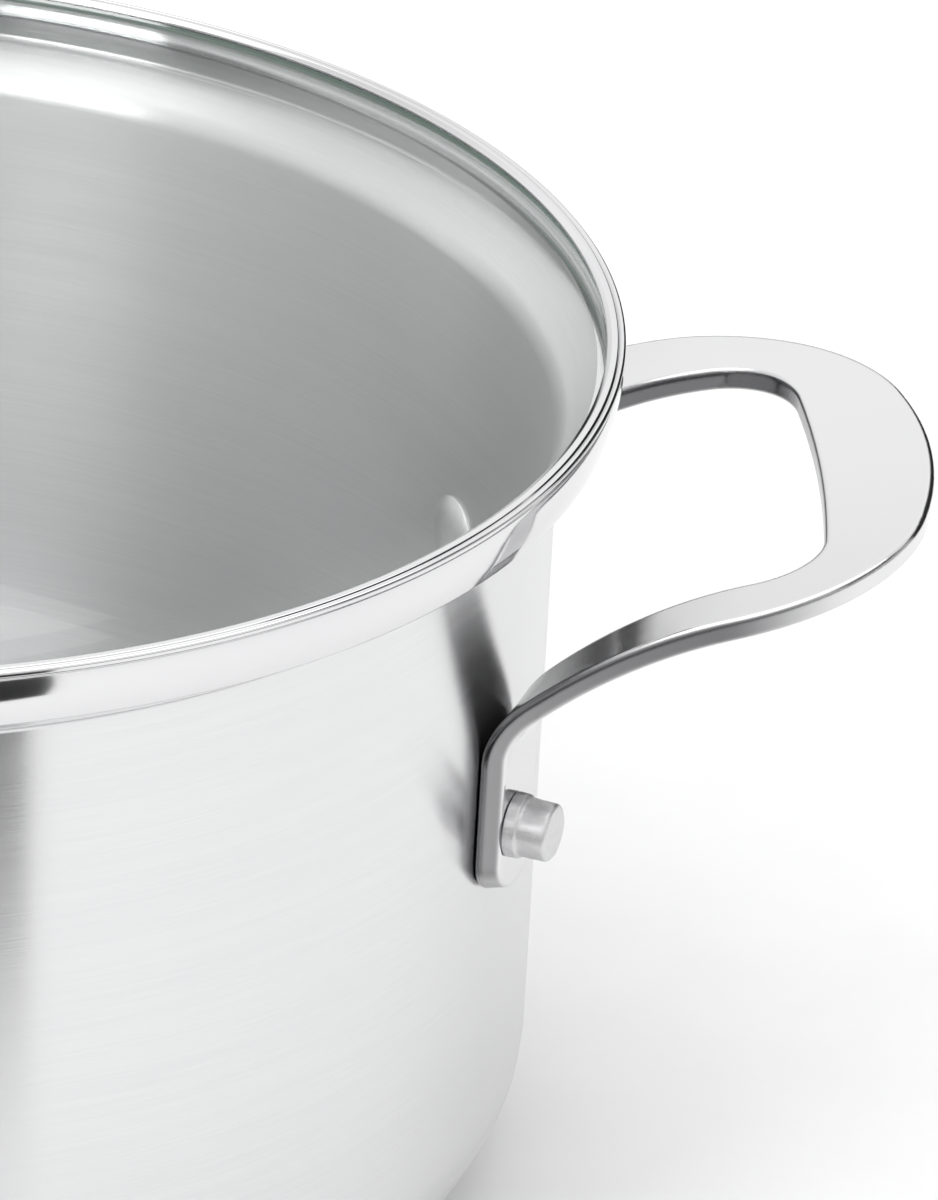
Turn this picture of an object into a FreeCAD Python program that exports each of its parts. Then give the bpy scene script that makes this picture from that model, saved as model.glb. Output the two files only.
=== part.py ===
import FreeCAD, Part
import math
import operator
import os

import Sketcher

# A low, wide water bath canner: a straight-sided stainless stockpot with a stepped, polished rim,
# two flat plate loop handles, a domed glass lid and a wire jar rack that stands on the pot's floor.
# Millimetres, +Z up.  The origin is the middle of the base's underside and the side handles lie
# along X.  Heights written as a "drop" are measured down from the rim.

V = FreeCAD.Vector
UP = V(0, 0, 1)
doc = FreeCAD.newDocument("WaterBathCanner")

SIZES = {
    # pot body
    "rim_height": 178.0,
    "rim_radius": 165.0,
    "sheet": 1.0,
    "wall_radius": 153.0,
    "corner_radius": 24.0,
    "band_foot_radius": 163.3,
    "band_foot_drop": 10.2,
    "ledge_drop": 16.8,
    "ledge_round": 2.6,
    "ledge_root_round": 4.5,
    # where the sheet's inner face turns at the band's foot and at the ledge, in sheet thicknesses
    "foot_inset": 0.91,
    "foot_lift": 0.6,
    "ledge_lift": 0.55,
    # encapsulated base
    "base_height": 6.0,
    "base_radius": 125.0,
    "cap_sheet": 0.8,
    # side handles
    "plate": 4.5,
    "plate_gap": 0.1,
    "plate_edge": 0.9,
    "tab_drop": 91.5,
    "tab_round": 8.0,
    "bend_drop": 54.5,
    "bend_slope": 40.0,
    "bend_run": 28.5,
    "loop_slope": 11.3,
    "bend_round": 16.0,
    "loop_round": 80.0,
    "loop_blank": 240.0,
    "handle_back": 100.0,
    "handle_tip": 227.5,
    "outer_back_half": 75.4,
    "outer_corner_half": 61.4,
    "outer_bow": 110.0,
    "outer_round": 50.0,
    "gap_tip": 205.3,
    "gap_back_half": 56.7,
    "gap_corner_half": 46.6,
    "gap_bow": 337.0,
    "gap_round": 18.0,
    # rivets that hold the side handles
    "rivet_drop": 77.0,
    "rivet_turn": 24.3,
    "rivet_shank": 4.0,
    "rivet_head": 8.0,
    "rivet_head_rise": 2.6,
    "rivet_stub": 6.4,
    "rivet_collar": 6.8,
    "rivet_collar_rise": 2.6,
    "rivet_tip_round": 1.1,
    "rivet_head_gap": 0.25,
    "rivet_gap": 0.05,
    "rivet_stub_rise": 9.0,
    # lid glass and its steel rim ring
    "glass": 4.0,
    "glass_radius": 162.1,
    "glass_flat": 157.0,
    "glass_top": 0.4,
    "glass_edge_round": 1.2,
    "dome_rise": 15.0,
    "seat_gap": 0.1,
    "ring_lip_radius": 161.2,
    "ring_foot_radius": 159.6,
    "ring_sheet": 0.6,
    "ring_skirt_radius": 162.85,
    "ring_height": 1.5,
    "ring_flange": 0.5,
    "ring_bevel": 0.9,
    "ring_shoulder": 0.6,
    "ring_bead_round": 0.35,
    "glass_gap": 0.05,
    "foot_gap": 0.1,
    # lid handle stack
    "post_hole": 4.0,
    "pad_radius": 25.0,
    "pad": 1.5,
    "boss_radius": 29.0,
    "boss": 4.5,
    "arch_strap": 4.5,
    "arch_width": 17.0,
    "arch_foot_half": 24.5,
    "arch_shoulder_half": 44.0,
    "arch_rise": 36.0,
    "arch_round": 15.0,
    "arch_edge": 1.0,
    "sleeve_gap": 0.2,
    "boss_round": 1.5,
    "seal_gap": 0.12,
    "seal_radius": 12.0,
    "washer_radius": 9.0,
    "washer": 1.0,
    "screw_radius": 2.5,
    "screw_head": 4.6,
    "screw_head_rise": 3.0,
    "screw_round": 1.2,
    # steam vent in the lid
    "vent_offset": 95.0,
    "vent_hole": 5.5,
    "vent_sleeve": 4.2,
    "vent_bore": 2.2,
    "vent_flange": 7.5,
    "vent_flange_rise": 0.8,
    "vent_round": 0.5,
    "vent_gap": 0.05,
    "vent_proud": 0.1,
    # jar rack
    "rack_height": 19.0,
    "ring_wire": 2.5,
    "inner_wire": 2.0,
    "slat_wire": 1.5,
    "outer_ring": 134.0,
    "middle_ring": 92.0,
    "inner_ring": 46.0,
    "slat_pitch": 22.0,
    "runner_offset": 60.0,
    "runner_gap": 0.1,
    # hinged lift bails of the rack
    "bail_wire": 2.0,
    "eye_radius": 4.0,
    "eye_bore": 2.3,
    "eye_length": 6.0,
    "bail_pivot": 112.0,
    "bail_half": 34.0,
    "bail_length": 96.0,
    "bail_round": 6.0,
    "pin_half": 49.0,
}

sheet = doc.addObject("Spreadsheet::Sheet", "Sizes")
for row, (alias, number) in enumerate(SIZES.items(), start=1):
    sheet.set(f"A{row}", alias)
    sheet.set(f"B{row}", str(number))
    sheet.setAlias(f"B{row}", alias)
doc.recompute()


# ---------------------------------------------------------------- sizes and their formulas

class Size:
    """A dimension: its present number and the sheet formula that drives it."""

    def __init__(self, number, formula):
        self.number = number
        self.formula = formula

    def _join(self, other, sign, action, swap=False):
        other = other if isinstance(other, Size) else Size(other, repr(float(other)))
        left, right = (other, self) if swap else (self, other)
        number = action(left.number, right.number)
        return Size(number, f"({left.formula} {sign} {right.formula})")

    def __add__(self, other):
        return self._join(other, "+", operator.add)

    def __radd__(self, other):
        return self._join(other, "+", operator.add, swap=True)

    def __sub__(self, other):
        return self._join(other, "-", operator.sub)

    def __rsub__(self, other):
        return self._join(other, "-", operator.sub, swap=True)

    def __mul__(self, other):
        return self._join(other, "*", operator.mul)

    def __rmul__(self, other):
        return self._join(other, "*", operator.mul, swap=True)

    def __truediv__(self, other):
        return self._join(other, "/", operator.truediv)

    def __neg__(self):
        return self * -1

    def root(self):
        return Size(math.sqrt(self.number), f"sqrt({self.formula})")


def size(alias):
    return Size(sheet.get(alias), f"{sheet.Name}.{alias}")


def fixed(number):
    return Size(float(number), repr(float(number)))


def turned(function, angle):
    """Sine, cosine or tangent of an angle that the sheet holds in degrees."""
    number = getattr(math, function)(math.radians(angle.number))
    return Size(number, f"{function}({angle.formula} * 1 deg)")


def below_rim(drop):
    return size("rim_height") - drop


ZERO = fixed(0)
RIM = size("rim_height")

# The strip that a side handle is cut from is swept this far round the pot, in degrees.
HANDLE_SWEEP = 80
# Long enough, in millimetres, for a drill to pass right through the piece that it cuts.
WALL_DRILL = 40
TAB_DRILL = 80
# Parts of a plan outline, boss or runner that are shares of another size.
CAP_ROUND = 1.8
CORE_ROUND = 0.8
BLIND_BORE = 0.7
RUNNER_BEND = 0.7
# A leaning strap's thickness along its foot, and how far its inner face is tucked in at the top.
ARCH_LEAN = 1.15
ARCH_TUCK = 0.6


# ---------------------------------------------------------------- sketches and features

def new_body(label):
    body = doc.addObject("PartDesign::Body", label)
    body.Label = label
    return body


def new_sketch(body, role, name):
    plane = next(item for item in body.Origin.OriginFeatures if item.Role == role)
    sketch = body.newObject("Sketcher::SketchObject", f"{body.Name}_{name}")
    sketch.AttachmentSupport = (plane, [""])
    sketch.MapMode = "FlatFace"
    return sketch


def drive(sketch, constraint, formula):
    index = sketch.addConstraint(constraint)
    sketch.setExpression(f"Constraints[{index}]", formula)


def pin(sketch, geometry, end, point):
    """Hold one end of a sketch line at a point whose two coordinates are sizes."""
    for kind, part in zip(("DistanceX", "DistanceY"), point):
        held = Sketcher.Constraint(kind, -1, 1, geometry, end, part.number)
        drive(sketch, held, part.formula)


def outline(sketch, points, bows=None):
    """A closed outline through points, drawn counterclockwise.

    bows maps a side's index to the radius of its arc: positive bulges out of the outline and
    negative bulges into it.
    """
    bows = bows or {}
    first = sketch.GeometryCount
    count = len(points)
    for side in range(count):
        start = flat(points[side])
        end = flat(points[(side + 1) % count])
        if side not in bows:
            sketch.addGeometry(Part.LineSegment(start, end))
        elif bows[side].number > 0:
            sketch.addGeometry(bowed_side(start, end, bows[side].number))
        else:
            sketch.addGeometry(bowed_side(end, start, -bows[side].number))
    for side in range(count):
        following = (side + 1) % count
        joined = Sketcher.Constraint("Coincident", first + side, last_end(side, bows),
                                     first + following, first_end(following, bows))
        sketch.addConstraint(joined)
        pin(sketch, first + side, first_end(side, bows), points[side])
    for side, radius in bows.items():
        length = radius if radius.number > 0 else -radius
        held = Sketcher.Constraint("Radius", first + side, length.number)
        drive(sketch, held, length.formula)


def first_end(side, bows):
    """Sketch arcs run counterclockwise, so a side that bulges inwards is drawn backwards."""
    return 2 if side in bows and bows[side].number < 0 else 1


def last_end(side, bows):
    return 3 - first_end(side, bows)


def bowed_side(start, end, radius):
    """An arc from start to end, counterclockwise, less than half a turn."""
    chord = end - start
    middle = (start + end) * 0.5
    height = math.sqrt(radius ** 2 - (chord.Length / 2) ** 2)
    left = UP.cross(chord).normalize()
    centre = middle + left * height
    first_angle = math.atan2(start.y - centre.y, start.x - centre.x)
    last_angle = math.atan2(end.y - centre.y, end.x - centre.x)
    return Part.ArcOfCircle(Part.Circle(centre, UP, radius), first_angle, last_angle)


def revolve(body, sketch, axis="V_Axis", angle=360.0, middle=False):
    turn = body.newObject("PartDesign::Revolution", f"{body.Name}_turn")
    turn.Profile = sketch
    turn.ReferenceAxis = (sketch, [axis])
    turn.Angle = angle
    turn.Midplane = middle
    doc.recompute()
    return turn


def turned_body(label, points, bows=None):
    """A body turned about Z from the outline of half its section."""
    body = new_body(label)
    sketch = new_sketch(body, "XZ_Plane", "section")
    outline(sketch, points, bows)
    revolve(body, sketch)
    return body


def pad(body, sketch, length):
    block = body.newObject("PartDesign::Pad", f"{body.Name}_pad")
    block.Profile = sketch
    block.Midplane = True
    block.setExpression("Length", length.formula)
    doc.recompute()
    return block


def cut_upwards(body, sketch, name):
    """Cut a plan outline through everything above the base plane."""
    before = body.Shape.Volume
    pocket = body.newObject("PartDesign::Pocket", f"{body.Name}_{name}")
    pocket.Profile = sketch
    pocket.Type = "ThroughAll"
    pocket.Reversed = True
    doc.recompute()
    if body.Shape.Volume >= before:
        raise RuntimeError(f"{pocket.Name} removed nothing")


def drill(body, name, radius, start, direction, depth):
    """Bore a round hole whose radius comes from the sheet."""
    before = body.Shape.Volume
    hole = body.newObject("PartDesign::SubtractiveCylinder", f"{body.Name}_{name}")
    hole.Placement = FreeCAD.Placement(start, FreeCAD.Rotation(UP, direction))
    hole.Height = depth
    hole.setExpression("Radius", radius.formula)
    doc.recompute()
    if body.Shape.Volume >= before:
        raise RuntimeError(f"{hole.Name} removed nothing")


def round_edges(body, name, radius, chosen):
    """Fillet the edges of a body for which chosen(edge) is true."""
    doc.recompute()
    base = body.Tip
    names = [f"Edge{i}" for i, edge in enumerate(base.Shape.Edges, 1) if chosen(edge)]
    if not names:
        raise RuntimeError(f"no edge for {name} of {body.Label}")
    fillet = body.newObject("PartDesign::Fillet", f"{body.Name}_{name}")
    fillet.Base = (base, names)
    fillet.setExpression("Radius", radius.formula)
    doc.recompute()
    if fillet.Shape.isNull() or not fillet.isValid():
        raise RuntimeError(f"{fillet.Name} could not be made")


def is_circle(edge):
    return not edge.Degenerated and isinstance(edge.Curve, Part.Circle)


def circle_at(*places):
    """Pick the circular edges that lie at these pairs of radius and height."""
    def chosen(edge):
        if not is_circle(edge):
            return False
        found = (edge.Curve.Radius, edge.Curve.Center.z)
        return any(math.dist(found, (r.number, z.number)) < 0.02 for r, z in places)
    return chosen


def radial_direction(angle):
    return V(math.cos(math.radians(angle)), math.sin(math.radians(angle)), 0)


# ---------------------------------------------------------------- pot

def make_pot_shell():
    """One drawn sheet: floor, rounded corner, straight wall, sloping ledge, flared rim band."""
    sheet_size = size("sheet")
    floor = size("base_height")
    wall = size("wall_radius")
    ledge = (wall, below_rim(size("ledge_drop")))
    foot = (size("band_foot_radius"), below_rim(size("band_foot_drop")))
    inner_ledge = (wall - sheet_size, ledge[1] + sheet_size * size("ledge_lift"))
    inner_foot = (foot[0] - sheet_size * size("foot_inset"),
                  foot[1] + sheet_size * size("foot_lift"))
    body = turned_body("pot_shell", [
        (ZERO, floor),
        (wall, floor),
        ledge,
        foot,
        (size("rim_radius"), RIM),
        (size("rim_radius") - sheet_size, RIM),
        inner_foot,
        inner_ledge,
        (wall - sheet_size, floor + sheet_size),
        (ZERO, floor + sheet_size),
    ])
    corner = size("corner_radius")
    root = size("ledge_root_round")
    round_edges(body, "corner", corner, circle_at((wall, floor)))
    inner_corner = circle_at((wall - sheet_size, floor + sheet_size))
    round_edges(body, "inner_corner", corner - sheet_size, inner_corner)
    round_edges(body, "band_foot", size("ledge_round"), circle_at(foot))
    round_edges(body, "inner_foot", size("ledge_round") - sheet_size, circle_at(inner_foot))
    round_edges(body, "ledge_root", root, circle_at(ledge))
    round_edges(body, "inner_ledge", root + sheet_size, circle_at(inner_ledge))
    inside = wall.number - corner.number / 2
    for index, (side, sign) in enumerate(rivet_angles()):
        start = radial_direction(side + sign) * inside
        start.z = below_rim(size("rivet_drop")).number
        outwards = radial_direction(side + sign)
        drill(body, f"hole_{index}", size("rivet_shank"), start, outwards, WALL_DRILL)
    return body


def rivet_angles():
    """Azimuths of the four rivets: each handle's own direction, and the turn from it."""
    turn = size("rivet_turn").number
    return [(side, sign * turn) for side in (0, 180) for sign in (-1, 1)]


def make_base():
    """Aluminium heat spreader under the floor, closed in by a pressed steel cap."""
    radius = size("base_radius")
    wrap = size("cap_sheet")
    top = size("base_height")
    core = turned_body("base_aluminium_core", [
        (ZERO, wrap), (radius - wrap, wrap), (radius - wrap, top), (ZERO, top)])
    cap = turned_body("base_steel_cap", [
        (ZERO, ZERO), (radius, ZERO), (radius, top), (radius - wrap, top),
        (radius - wrap, wrap), (ZERO, wrap)])
    round_edges(cap, "edge", wrap * CAP_ROUND, circle_at((radius, ZERO)))
    round_edges(core, "edge", wrap * CORE_ROUND, circle_at((radius - wrap, wrap)))
    inner_edge = circle_at((radius - wrap, wrap))
    round_edges(cap, "inner_edge", wrap * CORE_ROUND, inner_edge)
    return core, cap


# ---------------------------------------------------------------- side handles

def strip_section():
    """Section of the bent plate: tab against the wall, then the bend, then the rising loop."""
    plate = size("plate")
    slope = size("bend_slope")
    rise = size("loop_slope")
    tab = size("wall_radius") + size("plate_gap")
    bend = (tab, below_rim(size("bend_drop")))
    run = size("bend_run")
    knee = (bend[0] + run * turned("cos", slope), bend[1] + run * turned("sin", slope))
    reach = size("loop_blank") - knee[0]
    end = (knee[0] + reach, knee[1] + reach * turned("tan", rise))
    half_turn = (90 - slope) / 2
    mitre = plate / (1 + turned("cos", slope - rise))
    under_bend = (tab + plate, bend[1] - plate * turned("tan", half_turn))
    under_knee = (
        knee[0] + mitre * (turned("sin", slope) + turned("sin", rise)),
        knee[1] - mitre * (turned("cos", slope) + turned("cos", rise)),
    )
    under_end = (end[0], end[1] - plate / turned("cos", rise))
    bottom = below_rim(size("tab_drop"))
    return {
        "tab": (tab, bottom), "bend": bend, "knee": knee, "end": end, "under_end": under_end,
        "under_knee": under_knee, "under_bend": under_bend, "under_tab": (tab + plate, bottom),
    }


def plan_outline(sketch, tip, bow, rounding, corner_half, back_half):
    """Plan of a loop, seen from above: two flaring legs, round corners and a bowed end.

    Left sharp, each corner would lie corner_half from the X axis, on the end's arc.
    """
    back = size("handle_back")
    centre = tip - bow
    corner = (centre + (bow * bow - corner_half * corner_half).root(), corner_half)
    leg_end, arc_centre, bow_end = corner_arc(
        flat((back, back_half)), flat(corner), flat((centre, ZERO)), bow.number, rounding.number)
    lower_leg = sketch.addGeometry(Part.LineSegment(flat((back, -back_half)), mirrored(leg_end)))
    lower_arc = add_arc(sketch, mirrored(arc_centre), mirrored(leg_end), mirrored(bow_end))
    end_arc = add_arc(sketch, flat((centre, ZERO)), mirrored(bow_end), bow_end)
    upper_arc = add_arc(sketch, arc_centre, bow_end, leg_end)
    upper_leg = sketch.addGeometry(Part.LineSegment(leg_end, flat((back, back_half))))
    across = sketch.addGeometry(
        Part.LineSegment(flat((back, back_half)), flat((back, -back_half))))
    smooth = [lower_leg, lower_arc, end_arc, upper_arc, upper_leg]
    for one, following in zip(smooth, smooth[1:]):
        sketch.addConstraint(Sketcher.Constraint("Tangent", one, 2, following, 1))
    sketch.addConstraint(Sketcher.Constraint("Coincident", upper_leg, 2, across, 1))
    sketch.addConstraint(Sketcher.Constraint("Coincident", across, 2, lower_leg, 1))
    for arc, radius in ((lower_arc, rounding), (end_arc, bow), (upper_arc, rounding)):
        drive(sketch, Sketcher.Constraint("Radius", arc, radius.number), radius.formula)
    pin(sketch, end_arc, 3, (centre, ZERO))
    for leg, end, way in ((lower_leg, 1, -1), (upper_leg, 2, 1)):
        pin(sketch, leg, end, (back, back_half * way))
        sharp = (corner[0], corner[1] * way)
        mark = sketch.addGeometry(Part.Point(flat(sharp)), True)
        pin(sketch, mark, 1, sharp)
        sketch.addConstraint(Sketcher.Constraint("PointOnObject", mark, 1, leg))


def corner_arc(leg_start, leg_corner, bow_centre, bow, rounding):
    """End of the leg, centre, and start on the bow, of the arc that is tangent to both."""
    along = (leg_corner - leg_start).normalize()
    inward = V(along.y, -along.x, 0)
    start = leg_start + inward * rounding - bow_centre
    half = start.dot(along)
    reach = -half + math.sqrt(half ** 2 - start.dot(start) + (bow - rounding) ** 2)
    centre = leg_start + along * reach + inward * rounding
    outward = (centre - bow_centre).normalize()
    return leg_start + along * reach, centre, bow_centre + outward * bow


def mirrored(point):
    return V(point.x, -point.y, 0)


def add_arc(sketch, centre, start, end):
    """Counterclockwise arc about centre from start to end."""
    circle = Part.Circle(centre, UP, (start - centre).Length)
    angles = [math.atan2(point.y - centre.y, point.x - centre.x) for point in (start, end)]
    return sketch.addGeometry(Part.ArcOfCircle(circle, *angles))


def make_side_handle(label, heading):
    body = new_body(label)
    section = strip_section()
    strip = new_sketch(body, "XZ_Plane", "strip")
    outline(strip, list(section.values()))
    revolve(body, strip, angle=HANDLE_SWEEP, middle=True)
    plate = size("plate")
    round_edges(body, "bend", size("bend_round"), circle_at(section["bend"]))
    under_bend = circle_at(section["under_bend"])
    round_edges(body, "under_bend", size("bend_round") - plate, under_bend)
    round_edges(body, "knee", size("loop_round"), circle_at(section["knee"]))
    under_knee = circle_at(section["under_knee"])
    round_edges(body, "under_knee", size("loop_round") - plate, under_knee)

    trim = new_sketch(body, "XY_Plane", "trim")
    far = size("loop_blank") + 10
    outline(trim, [(ZERO, -far), (far, -far), (far, far), (ZERO, far)])
    plan_outline(trim, size("handle_tip"), size("outer_bow"), size("outer_round"),
                 size("outer_corner_half"), size("outer_back_half"))
    cut_upwards(body, trim, "outside")
    gap = new_sketch(body, "XY_Plane", "gap")
    plan_outline(gap, size("gap_tip"), size("gap_bow"), size("gap_round"),
                 size("gap_corner_half"), size("gap_back_half"))
    cut_upwards(body, gap, "opening")
    tab_bottom = section["tab"][1].number
    round_edges(body, "tab_ends", size("tab_round"), lambda edge: (
        isinstance(edge.Curve, Part.Line) and abs(edge.CenterOfMass.z - tab_bottom) < 0.01))
    for sign in (-1, 1):
        direction = radial_direction(sign * size("rivet_turn").number)
        start = direction * size("handle_back").number
        start.z = below_rim(size("rivet_drop")).number
        name = "front_hole" if sign < 0 else "back_hole"
        drill(body, name, size("rivet_shank"), start, direction, TAB_DRILL)
    round_edges(body, "edges", size("plate_edge"), lambda edge: True)
    body.Placement = FreeCAD.Placement(V(), FreeCAD.Rotation(UP, heading))
    return body


def make_rivet(label, angle):
    """Domed head inside the wall, shank, and a plain stub standing out from the tab."""
    body = new_body(label)
    seat = size("wall_radius") - size("sheet") - size("rivet_head_gap")
    face = size("wall_radius") + size("plate_gap") + size("plate") + size("rivet_gap")
    shank = size("rivet_shank") - size("rivet_gap")
    head = size("rivet_head")
    rise = size("rivet_head_rise")
    collar = size("rivet_collar")
    stub = size("rivet_stub")
    dome = (head * head + rise * rise) / (rise * 2)
    section = new_sketch(body, "XY_Plane", "section")
    outline(section, [
        (seat, head), (seat - rise, ZERO), (face + size("rivet_stub_rise"), ZERO),
        (face + size("rivet_stub_rise"), stub), (face + size("rivet_collar_rise"), stub),
        (face + size("rivet_collar_rise"), collar), (face, collar), (face, shank), (seat, shank),
    ], {0: dome})
    revolve(body, section, axis="H_Axis")
    tip = (face + size("rivet_stub_rise")).number
    round_edges(body, "tip", size("rivet_tip_round"), lambda edge: (
        is_circle(edge) and abs(edge.Curve.Center.x - tip) < 0.01))
    height = V(0, 0, below_rim(size("rivet_drop")).number)
    body.Placement = FreeCAD.Placement(height, FreeCAD.Rotation(UP, angle))
    return body


# ---------------------------------------------------------------- lid

def glass_top():
    return RIM + size("glass_top")


def dome_radius():
    flat = size("glass_flat")
    rise = size("dome_rise")
    return (flat * flat + rise * rise) / (rise * 2)


def make_lid_glass():
    """Tempered glass: a flat edge that the ring grips, and a shallow dome inside it."""
    thick = size("glass")
    top = glass_top()
    bottom = top - thick
    radius = dome_radius()
    hole = size("post_hole")
    crown_drop = radius - (radius * radius - hole * hole).root()
    crown = top + size("dome_rise") - crown_drop
    flat = size("glass_flat")
    edge = size("glass_radius")
    body = turned_body("lid_glass", [
        (edge, bottom), (edge, top), (flat, top), (hole, crown),
        (hole, crown - thick), (flat, bottom),
    ], {2: radius, 4: -radius})
    round_edges(body, "edge", size("glass_edge_round"), circle_at((edge, bottom), (edge, top)))
    place = vent_placement()
    low = place.multVec(V(0, 0, -3 * thick.number))
    drill(body, "vent", size("vent_hole"), low, place.Rotation.multVec(UP), 6 * thick.number)
    return body


def vent_placement():
    """The vent stands square to the dome, so it is swung about the dome's own centre."""
    radius = dome_radius().number
    apex = (glass_top() + size("dome_rise")).number
    swing = -math.degrees(math.asin(size("vent_offset").number / radius))
    centre = V(0, 0, apex - radius)
    tilt = FreeCAD.Rotation(V(0, 1, 0), swing)
    return FreeCAD.Placement(centre + tilt.multVec(V(0, 0, radius)), tilt)


def make_lid_ring():
    """Rolled steel ring: a lip over the glass, a skirt, a foot under it, a flange on the rim."""
    fold = size("ring_sheet")
    skirt = size("ring_skirt_radius")
    lip_under = glass_top() + size("glass_gap")
    foot_top = glass_top() - size("glass") - size("foot_gap")
    seat = RIM + size("seat_gap")
    crown = RIM + size("ring_height")
    lip = size("ring_lip_radius")
    outer = size("rim_radius")
    flange = size("ring_flange")
    bevel = size("ring_bevel")
    shoulder = size("ring_shoulder")
    body = turned_body("lid_rim_ring", [
        (size("ring_foot_radius"), foot_top - fold), (skirt, foot_top - fold), (skirt, seat),
        (outer, seat), (outer, seat + flange), (outer - bevel, crown), (skirt - shoulder, crown),
        (lip, lip_under + flange), (lip, lip_under), (skirt - fold, lip_under),
        (skirt - fold, foot_top), (size("ring_foot_radius"), foot_top),
    ])
    round_edges(body, "bead", size("ring_bead_round"), circle_at(
        (outer, seat + flange), (outer - bevel, crown), (skirt - shoulder, crown)))
    return body


def make_lid_handle():
    """Arch, boss and pads above the glass; seal, washer and screw below it."""
    apex = glass_top() + size("dome_rise")
    pad_top = apex + size("pad")
    boss_top = pad_top + size("boss")
    sleeve = size("post_hole") + size("sleeve_gap")
    turned_body("lid_handle_pad", [
        (sleeve, apex), (size("pad_radius"), apex), (size("pad_radius"), pad_top), (sleeve, pad_top)])

    boss_edge = size("boss_radius")
    screw = size("screw_radius")
    bore_top = pad_top + size("boss") * BLIND_BORE
    boss = turned_body("lid_handle_boss", [
        (screw, pad_top), (boss_edge, pad_top), (boss_edge, boss_top), (ZERO, boss_top),
        (ZERO, bore_top), (screw, bore_top)])
    round_edges(boss, "edge", size("boss_round"), circle_at((boss_edge, boss_top)))

    make_arch(boss_top)

    under = apex - size("glass") - size("seal_gap")
    seal_low = under - size("pad")
    washer_low = seal_low - size("washer")
    head_low = washer_low - size("screw_head_rise")
    turned_body("lid_inner_seal", [
        (sleeve, seal_low), (size("seal_radius"), seal_low), (size("seal_radius"), under),
        (sleeve, under)])
    turned_body("lid_washer", [
        (screw + size("sleeve_gap"), washer_low), (size("washer_radius"), washer_low),
        (size("washer_radius"), seal_low), (screw + size("sleeve_gap"), seal_low)])
    head = size("screw_head")
    bolt = turned_body("lid_handle_screw", [
        (ZERO, head_low), (head, head_low), (head, washer_low), (screw, washer_low),
        (screw, bore_top), (ZERO, bore_top)])
    round_edges(bolt, "head", size("screw_round"), circle_at((head, head_low)))


def make_arch(base):
    """A strap bent to an arch, wider at its shoulders than at its feet."""
    body = new_body("lid_handle_arch")
    front = new_sketch(body, "XZ_Plane", "front")
    strap = size("arch_strap")
    foot = size("arch_foot_half")
    shoulder = size("arch_shoulder_half")
    top = base + size("arch_rise")
    lean = strap * ARCH_LEAN
    tuck = strap * ARCH_TUCK
    outline(front, [
        (-foot, base), (-shoulder, top), (shoulder, top), (foot, base),
        (foot - lean, base), (shoulder - strap - tuck, top - strap),
        (-shoulder + strap + tuck, top - strap), (-foot + lean, base),
    ])
    pad(body, front, size("arch_width"))
    bend = size("arch_round")

    def along_strap(level, half):
        return lambda edge: (abs(edge.CenterOfMass.z - level.number) < 0.01
                             and abs(abs(edge.CenterOfMass.x) - half.number) < 0.01)
    round_edges(body, "shoulders", bend, along_strap(top, shoulder))
    round_edges(body, "under_shoulders", bend - strap,
                along_strap(top - strap, shoulder - strap - tuck))
    round_edges(body, "edges", size("arch_edge"), lambda edge: (
        edge.BoundBox.ZMax > base.number + 0.1 and edge.BoundBox.YLength < 0.1))
    return body


def make_vent():
    """Steel eyelet in a silicone grommet, through the lid's steam hole."""
    half = size("glass") / 2
    flange = size("vent_flange")
    bore = size("vent_bore")
    sleeve = size("vent_sleeve")
    rise = size("vent_flange_rise")
    hole = size("vent_hole")
    seat = half + size("vent_proud")
    cap = seat + rise
    inner = sleeve - size("vent_gap")
    outer = hole - size("vent_gap")
    grommet = turned_body("lid_vent_grommet", [
        (sleeve, -seat), (outer, -seat), (outer, seat), (sleeve, seat)])
    eyelet = turned_body("lid_vent_eyelet", [
        (bore, -cap), (flange, -cap), (flange, -seat), (inner, -seat),
        (inner, seat), (flange, seat), (flange, cap), (bore, cap)])
    round_edges(eyelet, "flange", size("vent_round"), circle_at((flange, cap), (flange, -cap)))
    place = vent_placement()
    mid_glass = FreeCAD.Placement(V(0, 0, -half.number), FreeCAD.Rotation())
    for piece in (grommet, eyelet):
        piece.Placement = place.multiply(mid_glass)


# ---------------------------------------------------------------- rack

def make_ring(label, alias, wire):
    """One closed wire ring, its top level with the top of the outer ring."""
    ring = doc.addObject("Part::Torus", label)
    ring.Label = label
    ring.setExpression("Radius1", size(alias).formula)
    ring.setExpression("Radius2", size(wire).formula)
    level = size("rack_height") + size("ring_wire") - size(wire)
    ring.setExpression(".Placement.Base.z", level.formula)
    return ring


def slat_height():
    return size("rack_height") + size("ring_wire") + size("slat_wire")


def make_slats():
    """Straight wires laid across the rings, from one side of the outer ring to the other."""
    wires = []
    ring = size("outer_ring")
    rows = int(ring.number // size("slat_pitch").number)
    for row in range(-rows + 1, rows):
        offset = size("slat_pitch") * row
        half = (ring * ring - offset * offset).root() + size("slat_wire")
        wire = doc.addObject("Part::Cylinder", f"slat_{row + rows}")
        wire.setExpression("Radius", size("slat_wire").formula)
        wire.setExpression("Height", (half * 2).formula)
        wire.Placement = FreeCAD.Placement(V(), FreeCAD.Rotation(UP, V(1, 0, 0)))
        wire.setExpression(".Placement.Base.x", (-half).formula)
        wire.setExpression(".Placement.Base.y", offset.formula)
        wire.setExpression(".Placement.Base.z", slat_height().formula)
        wires.append(wire)
    group = doc.addObject("Part::Compound", "rack_slat_wires")
    group.Label = "rack_slat_wires"
    group.Links = wires
    return group


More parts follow.
